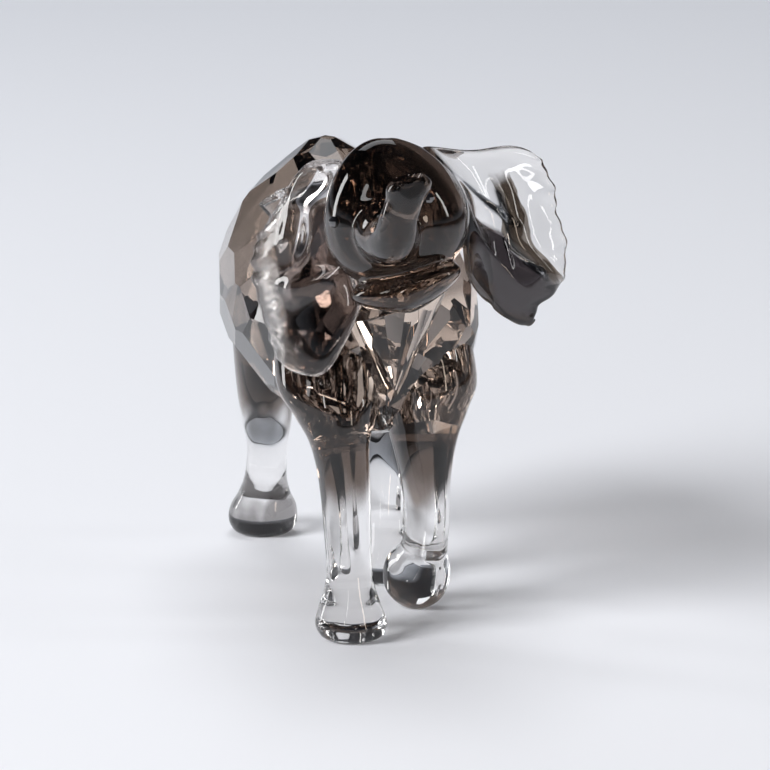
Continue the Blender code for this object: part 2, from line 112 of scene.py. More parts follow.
# Each leg, from inside the torso to its sole: centre x, y, z, half widths across and along, and the
# degrees that the section leans back. The seat is the place in the list where the leg is bonded on;
# it faces down the leg unless it has its own facing.
LEGS = {
    "front_right": {
        "seat": 3.2,
        "stations": [
            (-9.5, 18.0, 66.0, 11.5, 13.0, 0),
            (-10.6, 9.0, 54.0, 11.2, 12.4, 0),
            (-9.9, 5.0, 47.8, 8.8, 10.2, 0),
            (-9.4, 2.6, 42.6, 6.6, 7.6, 0),
            (-8.8, 1.4, 36.7, 5.7, 6.5, 0),
            (-8.4, 0.6, 30.0, 5.3, 5.9, 0),
            (-8.2, -0.4, 22.0, 5.0, 5.5, 0),
            (-8.0, -1.3, 14.5, 4.9, 5.3, 0),
            (-8.0, -1.8, 10.0, 5.7, 6.0, 0),
            (-8.0, -2.0, 6.0, 7.1, 7.1, 0),
            (-7.9, -2.0, 3.2, 7.8, 7.8, 0),
            (-7.8, -2.0, 1.0, 7.0, 7.0, 0),
            (-7.8, -2.0, 0.0, 5.6, 5.6, 0),
        ],
    },
    "front_left": {
        "seat": 3.0,
        "stations": [
            (10.5, 20.0, 66.0, 11.5, 13.0, 0),
            (12.6, 16.5, 53.0, 11.0, 12.2, 0),
            (12.0, 14.6, 46.5, 9.5, 10.4, 0),
            (11.6, 13.4, 41.0, 7.7, 8.4, 0),
            (11.6, 12.6, 36.0, 6.4, 7.2, 0),
            (11.9, 12.8, 29.5, 5.4, 6.3, 0),
            (12.4, 14.0, 22.8, 5.0, 5.7, 0),
            (12.4, 15.8, 16.0, 5.0, 5.4, 12),
            (11.8, 17.0, 12.4, 5.8, 6.0, 28),
            (11.3, 18.2, 9.4, 7.1, 7.2, 44),
            (11.1, 19.8, 7.0, 7.5, 7.4, 52),
            (11.1, 21.2, 5.6, 7.0, 7.0, 56),
            (11.1, 21.7, 5.1, 6.0, 6.0, 58),
        ],
    },
    "rear_right": {
        "seat": 2.2,
        "facing": (-0.42, 0.16, -0.89),
        "stations": [
            (-10.5, 68.0, 66.0, 12.0, 15.0, 0),
            (-12.3, 71.0, 56.0, 9.2, 13.6, 0),
            (-13.0, 74.5, 48.0, 7.7, 11.4, 0),
            (-12.9, 77.5, 40.0, 6.8, 9.2, 0),
            (-12.0, 81.0, 31.0, 6.1, 7.4, 0),
            (-11.2, 84.4, 22.7, 4.9, 5.6, 0),
            (-11.2, 87.2, 15.5, 4.9, 5.4, 0),
            (-11.3, 89.2, 10.5, 6.0, 6.4, 0),
            (-11.4, 90.3, 6.4, 7.9, 8.0, 0),
            (-11.4, 90.6, 3.2, 8.2, 8.2, 0),
            (-11.4, 90.6, 1.0, 7.3, 7.3, 0),
            (-11.4, 90.6, 0.0, 5.9, 5.9, 0),
        ],
    },
    "rear_left": {
        "seat": 2.5,
        "facing": (0.42, -0.1, -0.89),
        "stations": [
            (10.5, 62.0, 66.0, 12.0, 15.0, 0),
            (11.8, 60.0, 56.0, 9.2, 13.6, 0),
            (11.4, 57.0, 48.0, 7.7, 11.4, 0),
            (10.6, 53.5, 40.0, 6.8, 9.2, 0),
            (9.8, 50.5, 31.0, 6.1, 7.4, 0),
            (9.1, 47.4, 22.7, 4.9, 5.6, 0),
            (8.7, 45.4, 15.5, 4.9, 5.4, 0),
            (8.5, 44.2, 10.5, 6.0, 6.4, 0),
            (8.4, 43.5, 6.4, 7.7, 7.8, 0),
            (8.4, 43.4, 3.2, 8.0, 8.0, 0),
            (8.4, 43.4, 1.0, 7.1, 7.1, 0),
            (8.4, 43.4, 0.0, 5.7, 5.7, 0),
        ],
    },
}
STUB_OVERLAP = 1.5  # how far the torso's shoulder or hip is lofted past the seat before it is ground
SEAT_MARGIN = 0.7  # the seat is ground this much wider than the leg

# Trunk and tail: x, y, z and radius along the centreline; the trunk's are from the head's centre
TRUNK = [
    (-0.2, -4.0, -2.4, 9.0),
    (0.6, -12.0, -3.4, 7.3),
    (2.4, -18.0, -4.6, 5.5),
    (4.4, -22.2, -3.4, 4.6),
    (6.6, -25.0, -0.2, 4.0),
    (9.0, -25.9, 3.2, 3.8),
    (10.0, -25.9, 5.0, 4.2),
]
TAIL = [
    (0.2, 85.0, 84.0, 2.2),
    (0.4, 92.5, 81.0, 2.1),
    (0.9, 96.5, 75.0, 1.7),
    (1.5, 97.5, 66.5, 1.3),
    (1.6, 96.7, 58.5, 1.5),
    (1.2, 95.5, 52.5, 2.3),
    (0.9, 94.5, 49.0, 1.2),
]
JAW_CENTRE, JAW_RADII, JAW_KEEL = (-0.4, -4.0, -14.8), (12.2, 10.2, 3.6), 3.0

# The line of each ear that stands in the head, from the head's centre (mirrored for the right ear),
# from the top edge down; then the posed sheet, row by row, each from the root side out to the margin.
EAR_ROOT = [
    (6.4, 3.4, 13.0),
    (10.6, 3.4, 7.0),
    (12.6, 3.2, 1.0),
    (12.8, 2.8, -5.0),
    (12.2, 2.4, -10.5),
    (11.6, 2.0, -14.5),
    (11.6, 1.6, -18.0),
]
EARS = {
    "left": [
        [(14.4, 3.4, 105.2), (21.0, 4.6, 104.4), (28.3, 7.0, 105.8), (36.0, 10.5, 102.8)],
        [(17.4, 1.6, 99.2), (24.2, 2.4, 98.0), (32.0, 6.5, 97.4), (39.8, 11.0, 95.4)],
        [(20.4, -0.4, 92.4), (26.1, -0.4, 91.0), (34.0, 5.5, 89.2), (41.8, 11.0, 88.4)],
        [(21.6, -2.2, 86.0), (26.8, -3.6, 84.4), (35.0, 2.0, 82.0), (43.6, 8.5, 81.0)],
        [(21.8, -1.8, 79.8), (27.0, -4.0, 77.4), (33.8, -1.4, 75.2), (41.2, 5.2, 74.8)],
        [(22.0, -0.8, 75.2), (26.6, -2.0, 72.2), (31.2, -0.8, 71.0), (35.0, 2.4, 71.8)],
        [(22.4, 0.0, 72.0), (26.4, -0.6, 68.6), (30.4, 0.4, 66.0), (33.8, 2.0, 67.2)],
    ],
    "right": [
        [(-11.8, 3.6, 104.0), (-15.0, 7.4, 103.2), (-16.8, 10.6, 97.8), (-19.8, 14.0, 93.0)],
        [(-14.6, 4.2, 97.0), (-17.4, 7.6, 95.4), (-19.8, 12.0, 92.2), (-24.2, 16.6, 88.6)],
        [(-15.6, 3.6, 89.6), (-18.2, 7.0, 87.8), (-21.4, 12.0, 86.0), (-26.8, 18.0, 83.6)],
        [(-15.8, 2.2, 83.0), (-18.6, 5.4, 81.0), (-22.0, 11.4, 79.4), (-27.6, 18.0, 77.8)],
        [(-15.2, 0.4, 76.6), (-18.2, 3.0, 74.4), (-21.4, 9.0, 72.8), (-26.6, 16.6, 71.4)],
        [(-13.6, -3.2, 70.2), (-17.2, -0.2, 67.6), (-20.8, 5.0, 65.8), (-24.8, 12.0, 64.2)],
        [(-11.4, -6.2, 61.8), (-14.8, -5.0, 57.2), (-18.8, 0.6, 58.0), (-22.8, 8.0, 57.6)],
    ],
}

# The tip of the trunk, from the head's centre
LIP_CENTRE, LIP_RADII = (10.2, -26.2, 5.0), (5.0, 4.7, 3.0)
NOSTRIL_CENTRE, NOSTRIL_RADII = (10.9, -27.6, 8.2), (3.4, 3.4, 3.0)
# How far the left ear's margin reaches past its plain sheet, from the top edge down
LEFT_MARGIN = (0.0, 0.0, -0.4, -1.2, -1.6, -1.3, -1.5, 0.1, -2.0, -2.6, -1.2)
CHEST_FAN = 30  # long facets that run down the chest, round the neck

FAN_STEEPEST, FAN_FLATTEST = 60, 150  # degrees from upright, between which such a facet leans
FAN_HALVINGS = 30  # how often the search for its lean halves that span

EAR_CLEAR = 0.15  # what an ear keeps clear of the torso
EASE_SEARCH = 2.5  # how deep in the torso a point of an ear is looked for
EASE_REACH = 7.0  # how far from such a point the ear bends with it
EASE_PASSES = 3
OVERLAP = 0.1  # bonded faces reach into each other by this
JOINT_MIDDLE = 0.15  # half the gap that the CAD pieces keep for the adhesive
SEAT_ROOM, SEAT_TOP = 60.0, 40.0  # the block that clears the head's place on the neck
LEG_SEGMENTS, RINGS_PER_STATION = 56, 8
TUBE_STEPS = 12  # of a curve between two points, and round a quarter of it
EAR_DIVISIONS = 4
EYE_SEGMENTS, EYE_RINGS = 10, 7
BALL_SEGMENTS, BALL_RINGS = 64, 40
HEAD_VOXEL = 0.5
SMOOTHING = 26  # passes that blend the trunk and the jaw into the dome
MARGIN_START = 0.62  # where an ear begins to widen to its margin, from root 0 to margin 1
ROOTED = 0.22  # an ear is plain up to here, where the head holds it

# The viewing angle: degrees to the elephant's right of its nose and above the floor, and millimetres
VIEW_AZIMUTH, VIEW_ELEVATION, VIEW_DISTANCE, VIEW_LENS = -11.5, 12.5, 800.0, 174.86
VIEW_TARGET = Vector((0, 0, 55.0))
SENSOR_WIDTH = 36.0


def smoothstep(low, high, value):
    share = min(max((value - low) / (high - low), 0.0), 1.0)
    return share * share * (3 - 2 * share)


def new_collection(name):
    made = bpy.data.collections.new(name)
    bpy.context.scene.collection.children.link(made)
    return made


CRYSTAL = new_collection("crystal_elephant_looks")


def object_from(bm, name):
    bmesh.ops.recalc_face_normals(bm, faces=bm.faces)
    mesh = bpy.data.meshes.new(name)
    bm.to_mesh(mesh)
    bm.free()
    obj = bpy.data.objects.new(name, mesh)
    CRYSTAL.objects.link(obj)
    return obj


def applied(obj, weld=0.000004):
    """Replaces an object, and its modifiers, by the mesh that they make."""
    bpy.context.view_layer.update()
    graph = bpy.context.evaluated_depsgraph_get()
    mesh = bpy.data.meshes.new_from_object(obj.evaluated_get(graph))
    mesh.transform(obj.matrix_world)
    bm = bmesh.new()
    bm.from_mesh(mesh)
    bmesh.ops.remove_doubles(bm, verts=bm.verts, dist=weld)
    bm.to_mesh(mesh)
    bm.free()
    name = obj.name
    bpy.data.objects.remove(obj)
    made = bpy.data.objects.new(name, mesh)
    CRYSTAL.objects.link(made)
    return made


def combine(target, operation, other):
    modifier = target.modifiers.new("combine", "BOOLEAN")
    modifier.operation = operation
    modifier.object = other
    modifier.solver = "EXACT"
    made = applied(target)
    bpy.data.objects.remove(other)
    return made


def cut_plane(obj, point, normal):
    """Grinds away everything on the normal's side of a plane, and leaves a flat face."""
    bm = bmesh.new()
    bm.from_mesh(obj.data)
    geometry = bm.verts[:] + bm.edges[:] + bm.faces[:]
    cut = bmesh.ops.bisect_plane(
        bm, geom=geometry, plane_co=point, plane_no=normal, clear_outer=True
    )
    rim = [part for part in cut["geom_cut"] if isinstance(part, bmesh.types.BMEdge)]
    if rim:
        bmesh.ops.contextual_create(bm, geom=rim)
    bmesh.ops.recalc_face_normals(bm, faces=bm.faces)
    bm.to_mesh(obj.data)
    bm.free()
    return obj


def grown(obj, by):
    copy = bpy.data.objects.new(obj.name + "_cutter", obj.data.copy())
    CRYSTAL.objects.link(copy)
    displace = copy.modifiers.new("clearance", "DISPLACE")
    displace.mid_level = 0.0
    displace.strength = by
    return applied(copy)


def support(direction, balls):
    return max(
        Vector(centre).dot(direction) + Vector(a * b for a, b in zip(radii, direction)).length
        for centre, radii in balls
    )


def direction_at(tilt, around):
    """The direction so far from upright, and so far round from the front."""
    flat = math.sin(tilt)
    return Vector((flat * math.sin(around), -flat * math.cos(around), math.cos(tilt)))


def facet_directions(rings, shape, axis):
    """Facet normals, ring after ring over an ellipsoid; every second ring is staggered."""
    turn = Vector((0, 0, 1)).rotation_difference(Vector(axis))
    for index, (angle, count) in enumerate(rings):
        for step in range(count):
            around = 2 * math.pi * (step + 0.5 * (index % 2)) / count
            place = turn @ direction_at(math.radians(angle), around)
            yield Vector(share / radius for share, radius in zip(place, shape)).normalized()


def fan_directions(balls, count):
    """Normals of planes that each touch the upper and the lower ball, all the way round."""
    upper, lower = balls
    for step in range(count):
        around = 2 * math.pi * (step + 0.25 * math.sin(2.4 * step)) / count
        low, high = math.radians(FAN_STEEPEST), math.radians(FAN_FLATTEST)
        for _ in range(FAN_HALVINGS):
            middle = (low + high) / 2
            out = direction_at(middle, around)
            if support(out, [upper]) > support(out, [lower]):
                low = middle
            else:
                high = middle
        yield out


def faceted_hull(name, balls, rings, shape, axis):
    """A block ground to flat facets, each tangent to the hull of the ellipsoids."""
    bm = bmesh.new()
    bmesh.ops.create_cube(bm, size=400 * MM)
    block = object_from(bm, name)
    for direction in facet_directions(rings, shape, axis):
        cut_plane(block, direction * support(direction, balls) * MM, direction)
    return block


def spline(values, place):
    """Catmull-Rom through rows of numbers, at a place from 0 to the last row's index."""
    low = min(int(place), len(values) - 2)
    share = place - low
    near = [values[max(0, min(len(values) - 1, low + k))] for k in (-1, 0, 1, 2)]
    weights = (
        -0.5 * share + share**2 - 0.5 * share**3,
        1 - 2.5 * share**2 + 1.5 * share**3,
        0.5 * share + 2 * share**2 - 1.5 * share**3,
        -0.5 * share**2 + 0.5 * share**3,
    )
    return [sum(w * row[k] for w, row in zip(weights, near)) for k in range(len(values[0]))]


def swell_at(around, x, z):
    """The share by which a limb, drawn by hand, is out of round; none at the sole."""
    swell = 0.022 * math.sin(3 * around + 0.9 * x + 0.05 * z) * smoothstep(62, 40, z)
    swell += 0.014 * math.sin(7 * around + 2.0 - 0.04 * z) * smoothstep(50, 34, z)
    return swell * smoothstep(4, 9, z)


def limb(name, stations, wider=0.0):
    """A column lofted through elliptical sections, closed at both ends."""
    bm = bmesh.new()
    rings = []
    count = (len(stations) - 1) * RINGS_PER_STATION
    for ring in range(count + 1):
        x, y, z, rx, ry, lean = spline(stations, ring / RINGS_PER_STATION)
        tilt = Matrix.Rotation(math.radians(lean), 3, "X")
        corners = []
        for step in range(LEG_SEGMENTS):
            around = 2 * math.pi * step / LEG_SEGMENTS
            swell = swell_at(around, x, z)
            out = Vector(((rx * (1 + swell) + wider) * math.cos(around), 0, 0))
            out.y = (ry * (1 + swell) + wider) * math.sin(around)
            corners.append(bm.verts.new((Vector((x, y, z)) + tilt @ out) * MM))
        rings.append(corners)
    for upper, lower in zip(rings, rings[1:]):
        for step in range(LEG_SEGMENTS):
            after = (step + 1) % LEG_SEGMENTS
            face = bm.faces.new((upper[step], lower[step], lower[after], upper[after]))
            face.smooth = True
    bm.faces.new(rings[0])
    bm.faces.new(rings[-1])
    return object_from(bm, name)


def seat_of(leg):
    """Where a leg is bonded on, and the direction that its seat faces."""
    here = spline(leg["stations"], leg["seat"])
    before, after = (Vector(spline(leg["stations"], leg["seat"] + step)[:3]) for step in (-0.5, 0.5))
    facing = Vector(leg.get("facing", after - before))
    return Vector(here[:3]) * MM, facing.normalized()


def tube(name, route):
    """A curve with a radius at each point, as a closed mesh."""
    curve = bpy.data.curves.new(name, "CURVE")
    curve.dimensions = "3D"
    curve.bevel_depth = MM
    curve.bevel_resolution = curve.resolution_u = TUBE_STEPS
    curve.use_fill_caps = True
    line = curve.splines.new("BEZIER")
    line.bezier_points.add(len(route) - 1)
    for point, (x, y, z, radius) in zip(line.bezier_points, route):
        point.co = Vector((x, y, z)) * MM
        point.radius = radius
        point.handle_left_type = point.handle_right_type = "AUTO"
    obj = bpy.data.objects.new(name, curve)
    CRYSTAL.objects.link(obj)
    return applied(obj)


def head_frame():
    """From the head's own coordinates to the elephant's: yaw, then pitch, then roll."""
    yaw = Matrix.Rotation(math.radians(HEAD_YAW), 4, "Z")
    pitch = Matrix.Rotation(math.radians(HEAD_PITCH), 4, "X")
    roll = Matrix.Rotation(math.radians(HEAD_ROLL), 4, "Y")
    return Matrix.Translation(Vector(HEAD_CENTRE) * MM) @ yaw @ pitch @ roll


def ball(name, centre, radii, segments=BALL_SEGMENTS, rings=BALL_RINGS):
    bm = bmesh.new()
    bmesh.ops.create_uvsphere(bm, u_segments=segments, v_segments=rings, radius=1.0)
    bmesh.ops.scale(bm, vec=Vector(radii) * MM, verts=bm.verts)
    bmesh.ops.translate(bm, vec=Vector(centre) * MM, verts=bm.verts)
    return object_from(bm, name)


def head_form():
    """Dome, trunk and jaw blended into one polished form, then ground flat at the back."""
    dome = ball("dome", (0, 0, 0), DOME_RADII)
    for vertex in dome.data.vertices:
        share = vertex.co.z / (DOME_RADII[2] * MM)
        vertex.co.x *= 1 - DOME_TAPER * share
        vertex.co.y *= (1 - 0.5 * DOME_TAPER * share) * (DOME_BACK if vertex.co.y > 0 else 1)
    jaw = ball("jaw", JAW_CENTRE, JAW_RADII)
    for vertex in jaw.data.vertices:
        across = abs(vertex.co.x) / (JAW_RADII[0] * MM)
        share = 0.4 if vertex.co.z > JAW_CENTRE[2] * MM else 1.0
        vertex.co.z -= JAW_KEEL * MM * (1 - across) * share
    trunk = combine(tube("trunk", TRUNK), "UNION", ball("lip", LIP_CENTRE, LIP_RADII))
    head = combine(combine(dome, "UNION", trunk), "UNION", jaw)
    remesh = head.modifiers.new("blend", "REMESH")
    remesh.mode = "VOXEL"
    remesh.voxel_size = HEAD_VOXEL * MM
    remesh.use_smooth_shade = True
    smooth = head.modifiers.new("polish", "SMOOTH")
    smooth.factor = 0.5
    smooth.iterations = SMOOTHING
    head = applied(head)
    head = combine(head, "DIFFERENCE", ball("nostril", NOSTRIL_CENTRE, NOSTRIL_RADII))
    for angle in CROWN_FACETS:
        aside, back = math.radians(angle), math.radians(CROWN_LEAN)
        out = Vector((math.sin(aside), math.tan(back), math.cos(aside))).normalized()
        cut_plane(head, out * support(out, [((0, 0, 0), DOME_RADII)]) * CROWN_DEPTH * MM, out)
    cut_plane(head, (0, (SEAT_DEPTH + JOINT_MIDDLE + 0.5 * OVERLAP) * MM, 0), (0, 1, 0))
    head.data.transform(head_frame())
    return head


def sheet_point(rows, u, v):
    """A point on the ear's middle sheet: u from the root to the margin, v from the top edge down."""
    down = v * (len(rows) - 1)
    low = max(0, min(int(down), len(rows) - 2))
    near = [max(0, min(len(rows) - 1, low + k)) for k in (-1, 0, 1, 2)]
    line = [spline(rows[k], u * (len(rows[k]) - 1)) for k in near]
    share = spline(((0,), (1,), (2,)), 1 + down - low)[0] - 1
    return Vector(spline(line, 1 + min(max(down - low, 0), 1)))


def sheet_normal(rows, u, v):
    step = 0.02
    along = sheet_point(rows, min(u + step, 1), v) - sheet_point(rows, max(u - step, 0), v)
    down = sheet_point(rows, u, min(v + step, 1)) - sheet_point(rows, u, max(v - step, 0))
    normal = along.cross(down).normalized()
    return normal if normal.y < 0 else -normal


def ear_waves(side, u, v):
    """How far the sheet is bent towards the front, and how much thicker each face is, in mm."""
    margin = smoothstep(0.6, 1.0, u)
    calm = smoothstep(1.0, 0.8, v)
    if side == "left":
        bend = 0.36 * margin * calm * math.sin(2 * math.pi * (5.5 * v + 0.18 * math.sin(9 * v)))
        fold = v - 0.31 - 0.39 * u
        crease = max(1 - abs(fold) / 0.16, 0)
        bend -= 2.4 * crease * smoothstep(0.02, 0.3, u) * smoothstep(0.8, 0.4, u)
        middle = 0.57 + 0.35 * smoothstep(0.44, 0.68, v)
        streak = (u - middle) / 0.09
        thick = 0.55 * math.exp(-(streak**2)) * smoothstep(0.08, 0.22, v) * smoothstep(0.78, 0.6, v)
        thick += 0.5 * smoothstep(0.86, 0.97, v)
    else:
        bend = 0.22 * margin * calm * math.sin(2 * math.pi * (7.5 * v + 0.2 * math.sin(7 * v)))
        bend -= 2.2 * smoothstep(MARGIN_START, 1.0, u) ** 2
        knob = math.exp(-(((u - 0.42) / 0.22) ** 2) - ((v - 0.1) / 0.1) ** 2)
        lobe = math.exp(-(((u - 0.5) / 0.17) ** 2) - ((v - 0.35) / 0.12) ** 2)
        thick = 1.3 * knob + 0.9 * lobe
        fold = v - 0.66 + 0.06 * u
        bend += 1.2 * math.exp(-((fold / 0.06) ** 2)) * smoothstep(0.75, 0.5, u)
    return bend, thick


def ear_outline(side, v):
    """How far the margin reaches beyond the plain sheet, in mm."""
    scallops = 0.28 * math.sin(2 * math.pi * (11 * v + 0.3 * math.sin(5 * v)))
    if side == "right":
        return 1.4 * scallops
    rows = [(reach,) for reach in LEFT_MARGIN]
    return scallops + spline(rows, v * (len(rows) - 1))[0]


def ear_form(side, sign):
    """A thick waved sheet: a coarse grid given thickness, subdivided, then bent into folds."""
    pose = head_frame()
    bm = bmesh.new()
    grid = []
    rows = []
    sheet = bm.loops.layers.uv.new("sheet")
    for (x, y, z), row in zip(EAR_ROOT, EARS[side]):
        root = pose @ (Vector((sign * x, y, z)) * MM) / MM
        rows.append([tuple(root)] + list(row))
        grid.append([bm.verts.new(Vector(point) * MM) for point in rows[-1]])
    height, width = len(grid) - 1, len(grid[0]) - 1
    for down in range(height):
        for out in range(width):
            corners = ((down, out), (down + 1, out), (down + 1, out + 1), (down, out + 1))
            face = bm.faces.new([grid[row][column] for row, column in corners])
            for loop, (row, column) in zip(face.loops, corners):
                loop[sheet].uv = (column / width, row / height)
    ear = object_from(bm, "crystal_ear_" + side)
    thick = ear.modifiers.new("thickness", "SOLIDIFY")
    thick.thickness = EAR_THICKNESS * MM
    thick.offset = 0.0
    subdivide = ear.modifiers.new("form", "SUBSURF")
    subdivide.levels = subdivide.render_levels = EAR_DIVISIONS
    subdivide.uv_smooth = "NONE"
    ear = applied(ear)
    mesh = ear.data
    places = {}
    for loop, at in zip(mesh.loops, mesh.uv_layers["sheet"].data):
        places[loop.vertex_index] = (at.uv[0], at.uv[1])
    normals = [vertex.normal.copy() for vertex in mesh.vertices]
    layer = mesh.attributes.new("place_on_sheet", "FLOAT_VECTOR", "POINT")
    for vertex, normal in zip(mesh.vertices, normals):
        u, v = places[vertex.index]
        front = sheet_normal(rows, u, v)
        bend, thicker = ear_waves(side, u, v)
        face = min(max(3 * normal.dot(front), -1), 1)
        rooted = smoothstep(0.0, ROOTED, u)
        vertex.co += front * (bend + thicker * face) * rooted * MM
        reach = ear_outline(side, v) * smoothstep(MARGIN_START, 1.0, u)
        outward = (sheet_point(rows, u, v) - sheet_point(rows, u - 0.1, v)).normalized()
        vertex.co += outward * reach * MM
        layer.data[vertex.index].vector = (u, v, 0)
    mesh.uv_layers.remove(mesh.uv_layers["sheet"])
    mesh.shade_smooth()
    return ear


def eased(sheet, body):
    """Bends a sheet away from the body where the two would meet, and keeps its thickness."""
    faces = [tuple(face.vertices) for face in body.data.polygons]
    tree = BVHTree.FromPolygons([vertex.co for vertex in body.data.vertices], faces)
    lacking, push = [], Vector()
    for vertex in sheet.data.vertices:
        spot, normal, _, distance = tree.find_nearest(vertex.co)
        lack = EAR_CLEAR * MM - (vertex.co - spot).dot(normal)
        if lack > 0 and distance < EASE_SEARCH * MM:
            lacking.append((*vertex.co, lack))
            push += normal * lack
    if not lacking:
        return
    push.normalize()
    lacking = np.array(lacking)
    for vertex in sheet.data.vertices:
        near = 1 - np.linalg.norm(lacking[:, :3] - np.array(vertex.co), axis=1) / (EASE_REACH * MM)
        near = np.clip(near, 0, 1)
        vertex.co += push * float((near * near * (3 - 2 * near) * lacking[:, 3]).max())
    sheet.data.update()


def place(obj, name, node, material, slot, sharp=None):
    """Names a piece, puts it in the row frame and lets it stand for its CAD node."""
    obj.name = obj.data.name = name
    obj.data.transform(Matrix.Translation(SHIFT * MM))
    low, high = cad_box
    for vertex in obj.data.vertices:
        for k in range(3):
            vertex.co[k] = min(max(vertex.co[k], low[k]), high[k])
    if sharp:
        obj.data.set_sharp_from_angle(angle=math.radians(sharp))
    obj.data.materials.clear()
    obj.data.materials.append(material)
    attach(obj, "root")
    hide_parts(node)


# Materials


def node_material(name):
    material = bpy.data.materials.new(name)
    material.use_nodes = True
    tree = material.node_tree
    return material, tree, tree.nodes["Principled BSDF"]


def spread(tree, value, low, high, start=0.0, end=1.0, kind="SMOOTHSTEP"):
    """A value remapped and clamped."""
    node = tree.nodes.new("ShaderNodeMapRange")
    node.interpolation_type = kind
    for name, number in (("From Min", low), ("From Max", high), ("To Min", start), ("To Max", end)):
        node.inputs[name].default_value = number
    tree.links.new(value, node.inputs["Value"])
    return node.outputs["Result"]


def sums(tree, operation, first, second=0.0):
    """One step of arithmetic on numbers and sockets."""
    node = tree.nodes.new("ShaderNodeMath")
    node.operation = operation
    for socket, value in zip(node.inputs, (first, second)):
        if isinstance(value, (int, float)):
            socket.default_value = value
        else:
            tree.links.new(value, socket)
    return node.outputs["Value"]


def all_of(tree, first, *others):
    """The product of several shares."""
    for other in others:
        first = sums(tree, "MULTIPLY", first, other)
    return first


def any_of(tree, first, *others):
    """The largest of several shares."""
    for other in others:
        first = sums(tree, "MAXIMUM", first, other)
    return first


def blend(tree, share, first, second):
    """The first colour where the share is 0, and the second where it is 1."""
    node = tree.nodes.new("ShaderNodeMix")
    node.data_type = "RGBA"
    tree.links.new(share, node.inputs["Factor"])
    for name, colour in (("A", first), ("B", second)):
        if isinstance(colour, tuple):
            node.inputs[name].default_value = (*colour, 1.0)
        else:
            tree.links.new(colour, node.inputs[name])
    return node.outputs["Result"]


def object_axes(tree):
    """Across, along and height: a point's place in the row frame, in metres."""
    coords = tree.nodes.new("ShaderNodeTexCoord")
    split = tree.nodes.new("ShaderNodeSeparateXYZ")
    tree.links.new(coords.outputs["Object"], split.inputs["Vector"])
    return tuple(split.outputs[axis] for axis in "XYZ")


def object_noise(tree, scale, detail, upright=1.0):
    """Noise in object space, which an upright value under 1 draws out into upright strands."""
    coords = tree.nodes.new("ShaderNodeTexCoord")
    mapping = tree.nodes.new("ShaderNodeMapping")
    mapping.inputs["Scale"].default_value = (1.0, 1.0, upright)
    noise = tree.nodes.new("ShaderNodeTexNoise")
    noise.inputs["Scale"].default_value = scale
    noise.inputs["Detail"].default_value = detail
    tree.links.new(coords.outputs["Object"], mapping.inputs["Vector"])
    tree.links.new(mapping.outputs["Vector"], noise.inputs["Vector"])
    return noise.outputs["Fac"]


def stirred(tree, noise, by):
    """Noise about nought, of a given size."""
    return sums(tree, "MULTIPLY", sums(tree, "SUBTRACT", noise, 0.5), by)


def rough(tree, scale, detail, low, high, socket):
    """Uneven roughness between two values."""
    noise = object_noise(tree, scale, detail)
    tree.links.new(spread(tree, noise, 0.35, 0.75, low, high, "LINEAR"), socket)


def waved(tree, height, strength):
    """Faces that are slightly out of true."""
    bump = tree.nodes.new("ShaderNodeBump")
    bump.inputs["Strength"].default_value = strength
    bump.inputs["Distance"].default_value = WAVE_DEPTH
    tree.links.new(height, bump.inputs["Height"])
    tree.links.new(bump.outputs["Normal"], tree.nodes["Principled BSDF"].inputs["Normal"])


def crystal(name, tint, volume, density):
    """Polished lead crystal: clear, with its colour in its depth, and a trace of polishing haze."""
    material, tree, shader = node_material(name)
    shader.inputs["Base Color"].default_value = (*tint, 1.0)
    shader.inputs["Transmission Weight"].default_value = 1.0
    shader.inputs["IOR"].default_value = LEAD_CRYSTAL
    shader.inputs["Metallic"].default_value = 0.0
    rough(tree, 260.0, 3.0, 0.0, 0.022, shader.inputs["Roughness"])
    depth = tree.nodes.new("ShaderNodeVolumeAbsorption")
    depth.inputs["Color"].default_value = (*volume, 1.0)
    depth.inputs["Density"].default_value = density
    tree.links.new(depth.outputs["Volume"], tree.nodes["Material Output"].inputs["Volume"])
    return material, tree, shader


# Refractive indices, and the depth of a wave in a face in metres
LEAD_CRYSTAL, JET_STONE = 1.55, 2.4
WAVE_DEPTH = 0.0012

# Colours of the glass in its depth, then the tints of its surface
SMOKE, CLEAR_DEPTH = (0.50, 0.42, 0.37), (0.6, 0.57, 0.56)
# Painted shade on the left ear: the smoke below its slanting line, its brown streak and its dark root
TINT_CLEAR, PAINTED_EAR_SHADE = (0.95, 0.94, 0.93), (0.05, 0.042, 0.044)
PAINTED_STREAK_SHADE, PAINTED_ROOT_SHADE = (0.085, 0.064, 0.048), (0.04, 0.022, 0.014)
# Painted shade on the right ear: its smoky veil; the band is clear glass
PAINTED_VEIL_SHADE, TINT_BAND = (0.26, 0.22, 0.21), (0.92, 0.90, 0.89)
TINT_FLANK, TINT_FLANK_DARK = (0.25, 0.205, 0.18), (0.16, 0.133, 0.115)
# Painted shade along the back; then a painted highlight on the left shoulder and painted light in the
# chest and the rump
PAINTED_BACK_SHADE, TINT_LOW = (0.15, 0.112, 0.088), (0.20, 0.155, 0.128)
PAINTED_SHOULDER_HIGHLIGHT, PAINTED_PALE_LIGHT = (0.98, 0.82, 0.69), (0.97, 0.84, 0.73)
# Painted shade in the head's crown, painted light in its cheeks and jaw
TINT_CHEEK, PAINTED_CROWN_SHADE, PAINTED_JAW_LIGHT = (0.27, 0.225, 0.20), (0.10, 0.076, 0.062), (0.62, 0.53, 0.46)
TINT_LEG, TINT_LEG_TOP = (0.985, 0.98, 0.975), (0.13, 0.092, 0.072)
# Painted shade at the sole of the rear right foot
PAINTED_HIND_FOOT_SHADE, TINT_TAIL = (0.36, 0.345, 0.34), (0.34, 0.27, 0.23)

